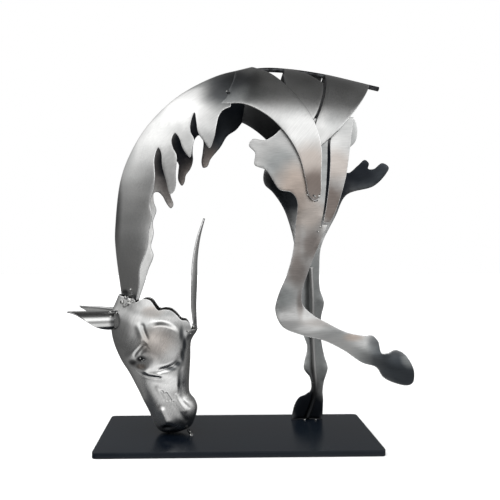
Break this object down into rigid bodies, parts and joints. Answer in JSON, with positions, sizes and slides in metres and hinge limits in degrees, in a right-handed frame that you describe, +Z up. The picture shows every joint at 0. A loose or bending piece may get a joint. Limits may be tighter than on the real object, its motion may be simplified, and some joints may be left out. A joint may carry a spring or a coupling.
{
  "type": "scrap metal horse sculpture",
  "caption": "Front half of a grazing horse in curved sheet steel strips, hollow pressed head, one foreleg raised, on a thin flat steel plinth.",
  "frame": {"origin": "middle of the plinth's underside, on the surface it stands on", "axes": "+Z up, +X along the plinth from the nose towards the rump, +Y across it towards the horse's far side"},
  "size_m": [0.3716, 0.125, 0.4194],
  "materials": {
    "steel_sheet": "hand brushed, satin, with darker lines beside the welds",
    "steel_bar": "dull, darkened by welding",
    "plinth": "satin black"
  },
  "bodies": {
    "root": {"base_plate": "plinth", "head": "steel_sheet", "throat_strip": "steel_sheet", "chin_post": "steel_bar", "spine_bar": "steel_bar", "neck_near": "steel_sheet", "neck_far": "steel_sheet", "leg_near": "steel_sheet", "leg_far": "steel_sheet", "leg_rod": "steel_bar", "ear_near": "steel_sheet", "ear_far": "steel_sheet", "shoulder_band_near": "steel_sheet", "shoulder_band_far": "steel_sheet", "middle_band_near": "steel_sheet", "middle_band_far": "steel_sheet", "rear_band_near": "steel_sheet", "rear_band_far": "steel_sheet", "triceps_near": "steel_sheet", "triceps_far": "steel_sheet"}
  },
  "joints": []
}
